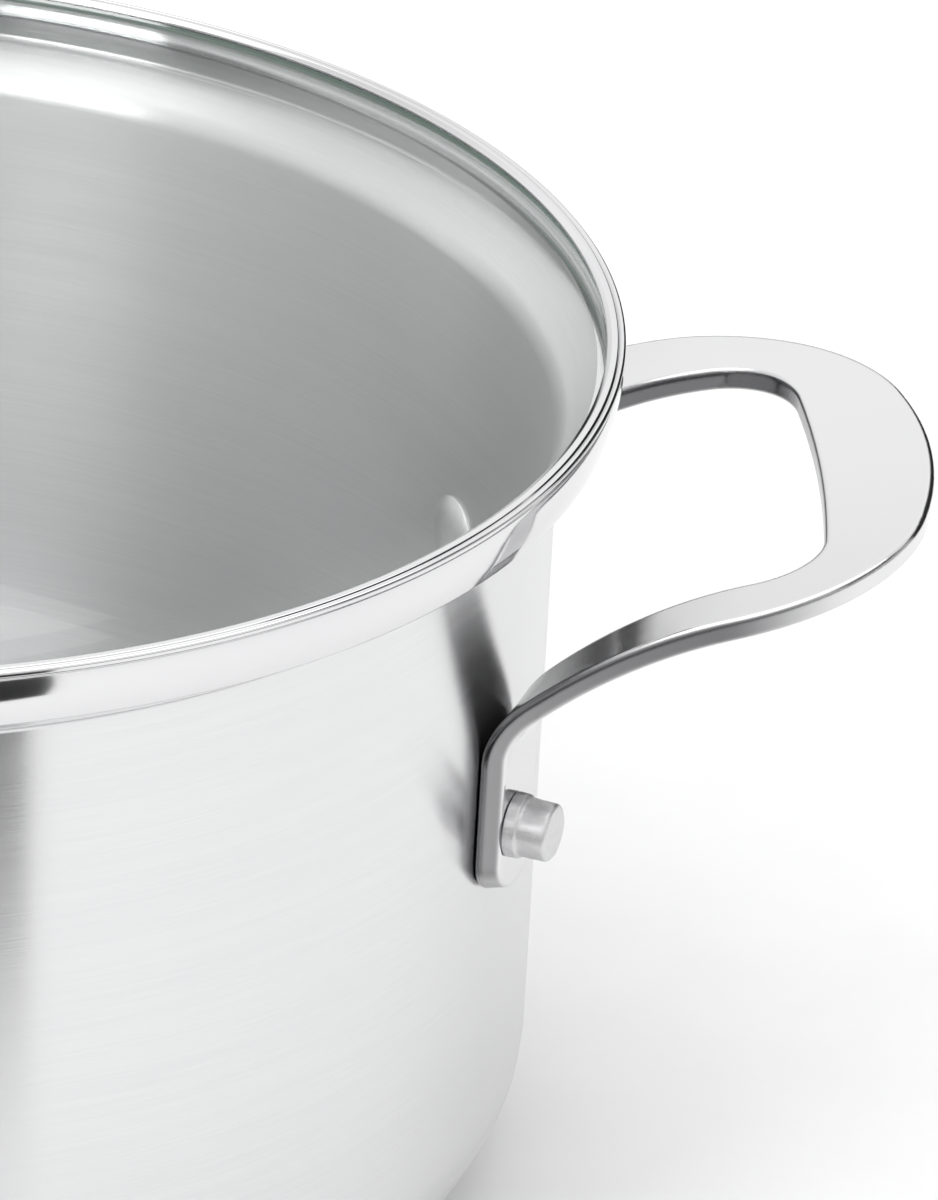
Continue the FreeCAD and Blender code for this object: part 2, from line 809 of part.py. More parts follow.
def bent_wire(label, path_role, end_role, end_offset, points, bend, wire):
    """Round wire along straight runs with equal square bends; its first end faces end_role."""
    body = new_body(label)
    path = new_sketch(body, path_role, "path")
    steps = [step_between(a, b) for a, b in zip(points, points[1:])]
    for index, step in enumerate(steps):
        start, end = points[index], points[index + 1]
        if index > 0:
            start = moved(start, step, bend)
        if index < len(steps) - 1:
            end = moved(end, step, -bend)
        line = path.addGeometry(Part.LineSegment(flat(start), flat(end)))
        pin(path, line, 1, start)
        pin(path, line, 2, end)
        if index > 0:
            add_bend(path, line, steps[index - 1], step, bend)
    ring = new_sketch(body, end_role, "end")
    ring.AttachmentOffset = FreeCAD.Placement(V(0, 0, end_offset.number), FreeCAD.Rotation())
    ring.setExpression("AttachmentOffset.Base.z", end_offset.formula)
    centre = end_centre(path_role, points[0])
    circle = ring.addGeometry(Part.Circle(flat(centre), UP, wire.number))
    pin(ring, circle, 3, centre)
    drive(ring, Sketcher.Constraint("Radius", circle, wire.number), wire.formula)
    doc.recompute()
    pipe = body.newObject("PartDesign::AdditivePipe", f"{label}_pipe")
    pipe.Profile = ring
    pipe.Spine = path
    doc.recompute()
    return body


def end_centre(path_role, first):
    """Centre of the wire's end in its own sketch: across the path plane it is always zero."""
    return (first[0], ZERO) if path_role == "XY_Plane" else (ZERO, first[0])


def flat(point):
    return V(point[0].number, point[1].number, 0)


def step_between(start, end):
    """Direction of a straight run that lies along one axis of its sketch."""
    run = (flat(end) - flat(start)).normalize()
    return (round(run.x), round(run.y))


def moved(point, step, reach):
    return tuple(part + reach * way if way else part for part, way in zip(point, step))


def add_bend(path, line, before, after, bend):
    """Quarter arc between the run drawn last and the arc drawn before it."""
    start = path.Geometry[line].StartPoint
    into = V(before[0], before[1], 0)
    onward = V(after[0], after[1], 0)
    corner = start - onward * bend.number
    centre = corner - into * bend.number + onward * bend.number
    middle = centre + (into - onward).normalize() * bend.number
    arc = path.addGeometry(Part.Arc(corner - into * bend.number, middle, start))
    previous_line = line - 2 if line > 1 else line - 1
    turns_left = before[0] * after[1] - before[1] * after[0] > 0
    ends = (1, 2) if turns_left else (2, 1)
    path.addConstraint(Sketcher.Constraint("Coincident", previous_line, 2, arc, ends[0]))
    path.addConstraint(Sketcher.Constraint("Coincident", line, 1, arc, ends[1]))
    drive(path, Sketcher.Constraint("Radius", arc, bend.number), bend.formula)


def make_runner(label, side):
    """Support wire: flat along the pot's floor, both ends turned up to the outer ring."""
    wire = size("ring_wire")
    offset = size("runner_offset")
    ring = size("outer_ring")
    half = (ring * ring - offset * offset).root()
    top = size("rack_height") - wire
    low = size("base_height") + size("sheet") + wire + size("runner_gap")
    corners = [(-half, top), (-half, low), (half, low), (half, top)]
    bend = (top - low) * RUNNER_BEND
    body = bent_wire(label, "YZ_Plane", "XY_Plane", top, corners, bend, wire)
    body.Placement = FreeCAD.Placement(V(side * offset.number, 0, 0), FreeCAD.Rotation())


def pivot_height():
    return slat_height() + size("slat_wire") + size("eye_radius")


def make_eye(label, side, end):
    """Short tube on a slat, in which one end of a bail turns."""
    outside = doc.addObject("Part::Cylinder", f"{label}_outside")
    bore = doc.addObject("Part::Cylinder", f"{label}_bore")
    for cylinder, radius in ((outside, "eye_radius"), (bore, "eye_bore")):
        cylinder.setExpression("Radius", size(radius).formula)
        cylinder.setExpression("Height", size("eye_length").formula)
    eye = doc.addObject("Part::Cut", label)
    eye.Label = label
    eye.Base = outside
    eye.Tool = bore
    middle = size("slat_pitch") * 2 * end
    eye.Placement = FreeCAD.Placement(V(), FreeCAD.Rotation(UP, V(0, 1, 0)))
    eye.setExpression(".Placement.Base.x", (size("bail_pivot") * side).formula)
    eye.setExpression(".Placement.Base.y", (middle - size("eye_length") / 2).formula)
    eye.setExpression(".Placement.Base.z", pivot_height().formula)


def make_bail(label, heading):
    """Lift handle of bent wire, folded flat towards the middle; it turns on its two ends."""
    half = size("bail_half")
    pin_end = size("pin_half")
    length = size("bail_length")
    body = bent_wire(label, "XY_Plane", "XZ_Plane", pin_end, [
        (ZERO, -pin_end), (ZERO, -half), (-length, -half), (-length, half), (ZERO, half),
        (ZERO, pin_end)], size("bail_round"), size("bail_wire"))
    across = FreeCAD.Rotation(UP, heading)
    pivot = across.multVec(V(size("bail_pivot").number, 0, 0))
    pivot.z = pivot_height().number
    body.Placement = FreeCAD.Placement(pivot, across)


# ---------------------------------------------------------------- build, check and write

make_pot_shell()
make_base()
for handle_side, heading in (("right", 0), ("left", 180)):
    make_side_handle(f"side_handle_{handle_side}", heading)
    for rivet_end, way in (("front", -1), ("back", 1)):
        turn = way if heading == 0 else -way
        make_rivet(f"rivet_{handle_side}_{rivet_end}", heading + turn * size("rivet_turn").number)

make_lid_glass()
make_lid_ring()
make_lid_handle()
make_vent()

make_ring("rack_outer_ring", "outer_ring", "ring_wire")
make_ring("rack_middle_ring", "middle_ring", "inner_wire")
make_ring("rack_inner_ring", "inner_ring", "inner_wire")
make_slats()
for side_name, side in (("right", 1), ("left", -1)):
    make_runner(f"rack_runner_{side_name}", side)
    for end_name, end in (("front", -1), ("back", 1)):
        make_eye(f"rack_eye_{side_name}_{end_name}", side, end)
make_bail("rack_bail_right", 0)
make_bail("rack_bail_left", 180)

doc.recompute()
for item in doc.Objects:
    if {"Invalid", "Error"} & set(item.State):
        raise RuntimeError(f"{item.Label} failed: {item.State}")

pieces = [item for item in doc.Objects if item.TypeId in
          ("PartDesign::Body", "Part::Torus", "Part::Compound", "Part::Cut")]
os.makedirs("parts", exist_ok=True)
for piece in pieces:
    if piece.Shape.isNull() or not piece.Shape.isValid():
        raise RuntimeError(f"{piece.Label} has no valid shape")
    piece.Shape.exportStep(f"parts/{piece.Label}.step")
    box = piece.Shape.BoundBox
    print(f"{piece.Label:26s} {piece.Shape.Volume / 1000:9.3f} cm3   "
          f"x {box.XMin:7.1f} {box.XMax:7.1f}   y {box.YMin:7.1f} {box.YMax:7.1f}   "
          f"z {box.ZMin:7.1f} {box.ZMax:7.1f}")
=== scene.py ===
# %% [markdown]
# # A water bath canner with a glass lid
# This notebook dresses a wide stainless canning pot for a studio picture.  The engineering model
# gives every solid its place in metres, with +Z up and the origin under the middle of the base.
# Here the visible pieces get their fine shapes and their finishes: brushed and polished steel,
# tempered glass, silicone and wire.  The cells run from top to bottom.

# %% Load the engineering model
import math

import bmesh
import bpy
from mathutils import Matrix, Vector


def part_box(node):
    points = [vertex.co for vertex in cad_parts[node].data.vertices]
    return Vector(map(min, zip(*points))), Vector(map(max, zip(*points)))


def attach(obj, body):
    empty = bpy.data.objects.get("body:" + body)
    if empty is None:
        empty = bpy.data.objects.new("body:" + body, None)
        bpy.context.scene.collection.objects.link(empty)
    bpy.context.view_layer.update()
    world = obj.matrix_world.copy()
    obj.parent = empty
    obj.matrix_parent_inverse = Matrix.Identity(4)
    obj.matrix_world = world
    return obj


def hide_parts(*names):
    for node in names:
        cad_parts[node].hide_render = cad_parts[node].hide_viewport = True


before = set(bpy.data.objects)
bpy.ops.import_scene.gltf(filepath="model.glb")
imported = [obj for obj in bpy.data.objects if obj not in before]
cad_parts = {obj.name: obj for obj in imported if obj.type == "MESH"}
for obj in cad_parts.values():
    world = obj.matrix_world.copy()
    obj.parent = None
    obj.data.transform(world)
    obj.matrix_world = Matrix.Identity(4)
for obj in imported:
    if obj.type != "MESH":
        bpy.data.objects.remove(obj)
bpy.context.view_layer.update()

# %% [markdown]
# Lengths below are written in millimetres and multiplied by MM, because a cook's pot is easier to
# picture in millimetres than in metres.  The few heights and radii that many pieces share are
# read from the engineering model, so that the two can never drift apart.

# %% Shared sizes
MM = 0.001

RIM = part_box("pot_shell")[1].z
RIM_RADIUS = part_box("pot_shell")[1].x
print(f"rim {RIM / MM:.1f} mm high, {RIM_RADIUS / MM:.1f} mm radius")

# %% [markdown]
# ## Camera
# A long lens far away keeps the circles of the rim close to true ellipses, as in a shop picture.
# The camera looks down at about 25 degrees, level with the front, and is turned a little so that
# the rim's right-hand quarter and one handle fill the frame.  The small roll is part of the view.

# %% Place the camera
camera_data = bpy.data.cameras.new("studio_camera")
camera_data.lens = 304.97
camera_data.clip_end = 50
camera = bpy.data.objects.new("studio_camera", camera_data)
bpy.context.scene.collection.objects.link(camera)
camera.location = (0, -1.79814, 1.01162)
camera.rotation_euler = [math.radians(turn) for turn in (63.57157, -2.93004, -2.92262)]
bpy.context.scene.camera = camera
print("camera", round((camera.location - Vector((0, 0, RIM))).length, 3), "m from the rim's centre")

# %% [markdown]
# ## Writing finishes as sums
# A finish is a small graph of nodes.  Wiring each Math node by hand hides what is being worked
# out, so one class wraps an output socket and gives it Python's operators: `1 - mask` then adds
# the Math node for us.  A second class holds the material and adds every other kind of node.

# %% Numbers that vary over a surface
class Varying:
    """A number that changes over a surface: an output socket with Python's arithmetic."""

    def __init__(self, finish, socket):
        self.finish = finish
        self.socket = socket

    def _math(self, operation, *terms):
        return self.finish.node("ShaderNodeMath", {"operation": operation}, dict(enumerate(terms)))

    def __add__(self, other):
        return self._math("ADD", self, other)

    def __radd__(self, other):
        return self._math("ADD", other, self)

    def __sub__(self, other):
        return self._math("SUBTRACT", self, other)

    def __rsub__(self, other):
        return self._math("SUBTRACT", other, self)

    def __mul__(self, other):
        return self._math("MULTIPLY", self, other)

    def __rmul__(self, other):
        return self._math("MULTIPLY", other, self)

    def __truediv__(self, other):
        return self._math("DIVIDE", self, other)

    def __pow__(self, other):
        return self._math("POWER", self, other)


class Finish:
    """One material and the nodes behind it."""

    def __init__(self, name):
        self.material = bpy.data.materials.new(name)
        self.material.use_nodes = True
        self.tree = self.material.node_tree
        self.tree.nodes.clear()
        self.out = self.tree.nodes.new("ShaderNodeOutputMaterial")

    def node(self, kind, settings=None, inputs=None, output=0):
        """Add a node: its settings first, then the values or links of its sockets."""
        made = self.tree.nodes.new(kind)
        for setting, value in (settings or {}).items():
            setattr(made, setting, value)
        for name, value in (inputs or {}).items():
            if isinstance(value, Varying):
                self.tree.links.new(value.socket, made.inputs[name])
            else:
                made.inputs[name].default_value = value
        return Varying(self, made.outputs[output])

    def split(self, vector):
        """The x, y and z of a vector, as three numbers."""
        parts = self.node("ShaderNodeSeparateXYZ", inputs={"Vector": vector})
        return [Varying(self, parts.socket.node.outputs[axis]) for axis in "XYZ"]

    def place(self):
        """Object coordinates as x, y, z and the distance from the pot's axis."""
        coordinates = self.node("ShaderNodeTexCoord", output="Object")
        x, y, z = self.split(coordinates)
        radius = (x * x + y * y) ** 0.5
        return coordinates, x, y, z, radius

    def vector(self, x, y, z):
        return self.node("ShaderNodeCombineXYZ", inputs={"X": x, "Y": y, "Z": z})

    def noise(self, vector, scale, detail=2.0, roughness=0.5):
        return self.node("ShaderNodeTexNoise", inputs={
            "Vector": vector, "Scale": scale, "Detail": detail, "Roughness": roughness})

    def step(self, value, low, high):
        """0 below low, 1 above high and a smooth rise between them."""
        return self.node("ShaderNodeMapRange", {"interpolation_type": "SMOOTHSTEP"}, {
            "Value": value, "From Min": low, "From Max": high})

    def bump(self, height, strength, distance, **normal):
        return self.node("ShaderNodeBump", inputs={
            "Height": height, "Strength": strength, "Distance": distance, **normal})

    def blend(self, factor, first, second):
        # A Mix node holds one set of sockets per kind of data: 0, 6 and 7 are the colour ones.
        return self.node("ShaderNodeMix", {"data_type": "RGBA"}, {
            0: factor, 6: first, 7: second}, output=2)

    def surface(self, **sockets):
        """A Principled BSDF; underscores in the names stand for spaces."""
        inputs = {name.replace("_", " "): value for name, value in sockets.items()}
        return self.node("ShaderNodeBsdfPrincipled", inputs=inputs)

    def done(self, shader):
        self.tree.links.new(shader.socket, self.out.inputs["Surface"])
        print(f"finish {self.material.name}: {len(self.tree.nodes)} nodes")
        return self.material

# %% [markdown]
# ## Steel
# The pot is one drawn sheet of stainless steel in two finishes.  The wall and the floor are
# brushed round and round, so they blur what they reflect up and down but hardly sideways.  The rim
# band is buffed to a mirror.  The brushing could be a picture wrapped round the pot, but noise that
# is squeezed to hair-fine lines needs no picture and never shows a join.  It runs along the circle
# because height plus radius changes fast in it and the way round changes slowly.
#
# The handles are buffed too, but their sheared edges and the bend next to the wall, where a
# wheel can't reach, stay a little duller.  Their colour also holds painted light: the edges, the
# side that faces the wall and that bend are painted dark as painted shade and painted reflection,
# and faces that turn down are painted lighter as a painted reflection of the floor.  The finish
# tells them apart by which way the surface faces and how far out it is.  A Bevel node also softens
# the shading of the plate's edges.

# %% Brushed and polished steel
def brushing(finish, coordinates, x, y, z, radius, lines_per_m=2600, around_per_m=26):
    """Noise drawn out round the pot's axis: 0 to 1 across fine circular scratches."""
    across = (z + radius) * lines_per_m
    squeezed = finish.vector(x * around_per_m, y * around_per_m, across)
    fine = finish.noise(squeezed, 1.0, detail=3.0, roughness=0.6)
    broad = finish.noise(finish.vector(x * 4, y * 4, across * 0.12), 1.0, detail=2.0)
    return fine, broad


def make_satin_steel():
    steel = Finish("satin_steel")
    coordinates, x, y, z, radius = steel.place()
    fine, broad = brushing(steel, coordinates, x, y, z, radius)
    smudge = steel.noise(coordinates, 22.0, detail=4.0)
    lines = steel.step(fine * 0.75 + broad * 0.25, 0.3, 0.7)
    colour = steel.blend(lines, (0.71, 0.713, 0.72, 1), (0.76, 0.762, 0.766, 1))
    across, along, up = steel.split(steel.node("ShaderNodeNewGeometry", output="Normal"))
    outside = steel.step((across * x + along * y) / radius, 0.3, 0.6)
    rough = 0.25 - outside * 0.08 + fine * 0.06 + broad * 0.03 + smudge * 0.04
    relief = steel.bump(fine, 0.3, 0.04 * MM)
    return steel.done(steel.surface(
        Base_Color=colour, Metallic=1.0, Roughness=rough, Normal=relief,
        Anisotropic=0.9, Anisotropic_Rotation=0.25))


def make_polished_steel(name, tone=(0.74, 0.74, 0.745, 1), rough_from=0.05):
    """Buffed steel: faint wipe marks and a very shallow orange-peel, never a perfect mirror."""
    steel = Finish(name)
    coordinates, x, y, z, radius = steel.place()
    wipe = steel.noise(steel.vector(x * 60, y * 18, z * 90), 1.0, detail=4.0, roughness=0.65)
    cloud = steel.noise(coordinates, 30.0, detail=3.0)
    colour = steel.blend(cloud, (tone[0] * 0.95, tone[1] * 0.95, tone[2] * 0.96, 1), tone)
    rough = rough_from + wipe * 0.05 + cloud * 0.03
    relief = steel.bump(wipe * 0.5 + cloud * 0.5, 0.06, 0.2 * MM)
    return steel.done(steel.surface(
        Base_Color=colour, Metallic=1.0, Roughness=rough, Normal=relief))


EDGE_ROUND = 1.3 * MM
# Painted shade: the radii of the bend next to the wall that is painted darker.
PAINTED_BEND_SHADE_RADII = (166 * MM, 178 * MM)


def make_handle_steel():
    """Polished plate with duller cut edges; painted shade and reflection set its edge tones."""
    steel = Finish("handle_steel")
    coordinates, x, y, z, radius = steel.place()
    rounded = steel.node("ShaderNodeBevel", {"samples": 8}, {"Radius": EDGE_ROUND})
    across, along, up = steel.split(rounded)
    outward = (across * x + along * y) / radius
    best = steel.node("ShaderNodeMath", {"operation": "MAXIMUM"}, {0: outward, 1: up})
    # Painted shade: upward faces on the bend by the wall are darkened; they are also rougher.
    painted_bend_shade = steel.step(up, 0.2, 0.5) * steel.step(
        0 - radius, -PAINTED_BEND_SHADE_RADII[1], -PAINTED_BEND_SHADE_RADII[0])
    # Faces turned out or up are painted bright and kept glossy; the rest take the tone below.
    buffed_and_painted_bright = steel.step(best, 0.45, 0.85) * (1 - painted_bend_shade * 0.85)
    # Painted reflection: faces turned down are lightened as if they mirrored the white floor.
    painted_floor_reflection = steel.step(0 - up, 0.15, 0.6) * 0.8
    wipe = steel.noise(steel.vector(x * 60, y * 18, z * 90), 1.0, detail=4.0, roughness=0.65)
    cloud = steel.noise(coordinates, 30.0, detail=3.0)
    # Painted shade and reflection, partly duller cut steel: near black, lighter underneath.
    sheared_edge_painted_shade_and_reflection = steel.blend(painted_floor_reflection, (0.17, 0.17, 0.175, 1), (0.62, 0.62, 0.625, 1))
    colour = steel.blend(buffed_and_painted_bright, sheared_edge_painted_shade_and_reflection, (0.72, 0.72, 0.725, 1))
    rough = 0.11 - buffed_and_painted_bright * 0.05 + wipe * 0.05 + cloud * 0.03
    relief = steel.bump(wipe * 0.5 + cloud * 0.5, 0.06, 0.2 * MM, Normal=rounded)
    return steel.done(steel.surface(
        Base_Color=colour, Metallic=1.0, Roughness=rough, Normal=relief))


satin_steel = make_satin_steel()
polished_steel = make_polished_steel("polished_steel")
handle_steel = make_handle_steel()

# %% [markdown]
# The base cap is turned on a lathe, so its marks are circles about the middle.  The wire of the
# rack is bright-drawn and then electropolished: shiny, a little greyer, with faint draw lines.  The
# rivets are cold-headed: their shanks keep a grainy skin and only the cut end is flat and bright.

# %% Base, rack and rivet steel
def make_base_steel():
    steel = Finish("base_steel")
    coordinates, x, y, z, radius = steel.place()
    fine, broad = brushing(steel, coordinates, x, y, z, radius, lines_per_m=1700, around_per_m=9)
    colour = steel.blend(fine, (0.56, 0.56, 0.57, 1), (0.66, 0.66, 0.67, 1))
    relief = steel.bump(fine, 0.4, 0.06 * MM)
    return steel.done(steel.surface(
        Base_Color=colour, Metallic=1.0, Roughness=0.26 + broad * 0.16, Normal=relief,
        Anisotropic=0.6, Anisotropic_Rotation=0.25))


def make_wire_steel():
    steel = Finish("rack_wire_steel")
    coordinates = steel.place()[0]
    grain = steel.noise(coordinates, 900.0, detail=3.0)
    cloud = steel.noise(coordinates, 60.0, detail=3.0)
    colour = steel.blend(cloud, (0.50, 0.50, 0.51, 1), (0.66, 0.66, 0.67, 1))
    relief = steel.bump(grain, 0.12, 0.05 * MM)
    return steel.done(steel.surface(
        Base_Color=colour, Metallic=1.0, Roughness=0.16 + cloud * 0.14, Normal=relief))


def make_rivet_steel():
    steel = Finish("rivet_steel")
    coordinates = steel.place()[0]
    grain = steel.noise(coordinates, 620.0, detail=4.0, roughness=0.7)
    pits = steel.noise(coordinates, 260.0, detail=2.0)
    colour = steel.blend(grain, (0.58, 0.58, 0.59, 1), (0.78, 0.78, 0.785, 1))
    relief = steel.bump(grain * 0.6 + pits * 0.8, 0.55, 0.25 * MM)
    return steel.done(steel.surface(
        Base_Color=colour, Metallic=1.0, Roughness=0.34 + grain * 0.2, Normal=relief))


base_steel = make_base_steel()
wire_steel = make_wire_steel()
rivet_steel = make_rivet_steel()

# %% [markdown]
# ## Glass, silicone and aluminium
# Looking down through a lid, what tells us that it is glass is the veil of the room in its surface
# and the green of its edge, where the light has come a long way through it.  Real refraction would
# cost many samples for a shift of a millimetre, so the body of the glass is a mix of "see through"
# and "gloss".  The mix is Layer Weight's facing value to the fifth power, which is how real glass
# gains gloss towards grazing angles.  The edge is a second shader, green and nearly opaque.

# %% Glass, silicone, aluminium
def make_glass():
    glass = Finish("lid_glass_clear")
    coordinates, x, y, z, radius = glass.place()
    facing = glass.node("ShaderNodeLayerWeight", inputs={"Blend": 0.5}, output="Facing")
    gloss_share = 0.04 + 0.96 * facing ** 5.0
    clear = glass.node("ShaderNodeBsdfTransparent", inputs={"Color": (0.985, 0.992, 0.988, 1)})
    gloss = glass.node("ShaderNodeBsdfGlossy", inputs={"Color": (1, 1, 1, 1), "Roughness": 0.015})
    body = glass.node("ShaderNodeMixShader", inputs={0: gloss_share, 1: clear, 2: gloss})
    ripple = glass.noise(coordinates, 300.0, detail=2.0)
    green = glass.blend(ripple, (0.010, 0.060, 0.035, 1), (0.020, 0.105, 0.060, 1))
    edge = glass.surface(Base_Color=green, Roughness=0.2, Specular_IOR_Level=0.15)
    upper_half = glass.step(z, RIM - 1.9 * MM, RIM - 1.4 * MM)
    edge_mask = glass.step(radius, 161.6 * MM, 161.95 * MM) * (0.25 + upper_half * 0.75)
    return glass.done(glass.node("ShaderNodeMixShader", inputs={0: edge_mask, 1: body, 2: edge}))


def make_silicone():
    silicone = Finish("grey_silicone")
    coordinates = silicone.place()[0]
    grain = silicone.noise(coordinates, 1400.0, detail=3.0)
    dust = silicone.noise(coordinates, 90.0, detail=4.0)
    colour = silicone.blend(dust, (0.045, 0.046, 0.048, 1), (0.085, 0.086, 0.088, 1))
    return silicone.done(silicone.surface(
        Base_Color=colour, Roughness=0.5 + dust * 0.15, Specular_IOR_Level=0.35,
        Normal=silicone.bump(grain, 0.25, 0.08 * MM)))


def make_aluminium():
    metal = Finish("core_aluminium")
    coordinates, x, y, z, radius = metal.place()
    fine, broad = brushing(metal, coordinates, x, y, z, radius, lines_per_m=900, around_per_m=30)
    colour = metal.blend(broad, (0.60, 0.61, 0.62, 1), (0.72, 0.725, 0.73, 1))
    return metal.done(metal.surface(
        Base_Color=colour, Metallic=1.0, Roughness=0.38 + fine * 0.14,
        Normal=metal.bump(fine, 0.3, 0.08 * MM)))


lid_glass_clear = make_glass()
grey_silicone = make_silicone()
core_aluminium = make_aluminium()

# %% [markdown]
# ## Dressing the engineering pieces
# Pieces whose engineering shape is already right keep it and only take a finish.  The others take
# one too, and are replaced further down.

# %% Put the finishes on
FINISH_OF = {
    "satin_steel": satin_steel, "polished_steel": polished_steel, "rivet_steel": rivet_steel,
    "rack_wire": wire_steel, "silicone": grey_silicone, "aluminium_core": core_aluminium,
    "tempered_glass": lid_glass_clear,
}
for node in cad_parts.values():
    slot = node.material_slots[0]
    slot.material = FINISH_OF[slot.material.name.split(".")[0]]
for side in ("right", "left"):
    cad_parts[f"side_handle_{side}"].material_slots[0].material = handle_steel
print("dressed", len(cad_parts), "engineering pieces")

# %% [markdown]
# ## Shaping tools
# Nearly every piece of a pot is turned: half its section, spun round an axis.  By hand we would
# add a single point, extrude it from corner to corner, bevel the corners that are rounded on the
# real piece and spin the thread of edges a full turn.  The helpers below do just that, so each
# piece later is only its list of corners.  A bevel slides along both edges of a corner, so a radius
# is first turned into that distance.

# %% Start and finish a piece
MERGE = 0.001 * MM


def clear_selection():
    if bpy.context.object and bpy.context.object.mode != "OBJECT":
        bpy.ops.object.mode_set(mode="OBJECT")
    bpy.ops.object.select_all(action="DESELECT")


def start_point(place):
    """A new mesh of one point at a place, in edit mode, with its object at the origin."""
    clear_selection()
    bpy.ops.mesh.primitive_plane_add(size=MM, location=place)
    bpy.ops.object.transform_apply(location=True)
    bpy.ops.object.mode_set(mode="EDIT")
    bpy.ops.mesh.select_mode(type="VERT")
    bpy.ops.mesh.merge(type="CENTER")


def pick(kind, chosen):
    """In edit mode, select only the verts, edges or faces for which chosen(element) is true."""
    bpy.ops.mesh.select_mode(type={"verts": "VERT", "edges": "EDGE", "faces": "FACE"}[kind])
    bpy.ops.mesh.select_all(action="DESELECT")
    mesh = bpy.context.object.data
    shape = bmesh.from_edit_mesh(mesh)
    found = [element for element in getattr(shape, kind) if chosen(element)]
    for element in found:
        element.select_set(True)
    shape.select_flush_mode()
    bmesh.update_edit_mesh(mesh)
    return len(found)


def near(place, reach=0.01 * MM):
    """Test for a point that lies at a place."""
    return lambda vert: (vert.co - Vector(place)).length < reach


def draw_thread(points, rounds=None, segments=6):
    """Extrude one point from corner to corner, then bevel the corners that have a radius.

    rounds maps a corner's index to its radius.
    """
    points = [Vector(point) for point in points]
    start_point(points[0])
    for here, following in zip(points, points[1:]):
        bpy.ops.mesh.extrude_region_move(TRANSFORM_OT_translate={"value": following - here})
    for index, radius in (rounds or {}).items():
        before, corner, after = (points[(index + step) % len(points)] for step in (-1, 0, 1))
        turn = math.pi - (before - corner).angle(after - corner)
        pick("verts", near(corner))
        bpy.ops.mesh.bevel(
            offset_type="OFFSET", offset=radius * math.tan(turn / 2), segments=segments,
            profile=0.5, affect="VERTICES", clamp_overlap=False)


def close_thread(first, last):
    """Join the thread's two ends with an edge."""
    pick("verts", lambda vert: near(first)(vert) or near(last)(vert))
    bpy.ops.mesh.edge_face_add()


def spin_thread(steps, centre=(0, 0, 0), axis=(0, 0, 1)):
    """Spin everything a full turn, close the seam and point the faces outwards."""
    bpy.ops.mesh.select_all(action="SELECT")
    bpy.ops.mesh.spin(steps=steps, angle=2 * math.pi, center=centre, axis=axis)
    tidy_surface()


def tidy_surface():
    bpy.ops.mesh.select_all(action="SELECT")
    bpy.ops.mesh.remove_doubles(threshold=MERGE)
    bpy.ops.mesh.normals_make_consistent(inside=False)


def settle(name, body, slot, *finishes, crease=32, replaced=()):
    """Leave edit mode, name the piece, dress it and let it ride on its body."""
    bpy.ops.object.mode_set(mode="OBJECT")
    piece = bpy.context.object
    piece.name = name
    piece.data.name = name
    bpy.ops.object.shade_smooth_by_angle(angle=math.radians(crease))
    for finish in finishes:
        piece.data.materials.append(finish)
    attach(piece, body)
    if replaced:
        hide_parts(*replaced)
    print(f"{name}: {len(piece.data.polygons)} faces")
    return piece


def section(*corners):
    """Corners given as radius and height in millimetres, as points in the XZ plane."""
    return [(radius * MM, 0, height * MM) for radius, height in corners]

# %% [markdown]
# ## Pot
# One sheet, 1 mm thick: floor, rounded corner, straight wall, a sloping ledge and a band that
# flares to the rim.  The rim edge is rolled smooth.  The band bulges by a few tenths of a
# millimetre, as buffing leaves it, and that slight curve is what draws the bright and dark lines
# along it.  It is drawn as a closed section, outside and inside, and spun in 288 steps, fine enough
# for a mirror.  Then only the outside of the band gets the polished finish.

# %% Spin the pot
RIM_MM = RIM / MM
BAND_LOW = RIM_MM - 17.4

pot_section = section(
    (0, 6.0), (153.0, 6.0), (153.0, RIM_MM - 16.8), (163.15, RIM_MM - 10.4),
    (164.55, RIM_MM - 6.2), (165.0, RIM_MM - 2.2), (164.75, RIM_MM), (164.0, RIM_MM),
    (162.35, RIM_MM - 9.7), (152.0, RIM_MM - 16.2), (152.0, 7.0), (0, 7.0))
draw_thread(pot_section, {
    1: 24 * MM, 2: 1.6 * MM, 3: 0.9 * MM, 4: 22 * MM, 5: 12 * MM, 6: 0.35 * MM, 7: 0.35 * MM,
    8: 1.2 * MM, 9: 5.5 * MM, 10: 23 * MM}, segments=8)
spin_thread(288)
pot_wall = settle("pot_wall", "pot", "satin_steel", satin_steel, polished_steel,
                  crease=40, replaced=["pot_shell"])

# %% Polish the outside of the band
bpy.ops.object.mode_set(mode="EDIT")


def on_band(face):
    outward = Vector((face.calc_center_median().x, face.calc_center_median().y, 0))
    return face.calc_center_median().z > BAND_LOW * MM and face.normal.dot(outward) > 0


band_faces = pick("faces", on_band)
pot_wall.active_material_index = 1
bpy.ops.object.material_slot_assign()
bpy.ops.object.mode_set(mode="OBJECT")
print("polished faces on the band:", band_faces)

# %% [markdown]
# ## Lid ring
# A strip of steel is rolled round the glass: a lip on top, a skirt inside the pot's band and a thin
# flange that hides the pot's rim.  The top has a rounded bead along its outer edge and a shallow
# groove inside it, which catches a dark line all round.

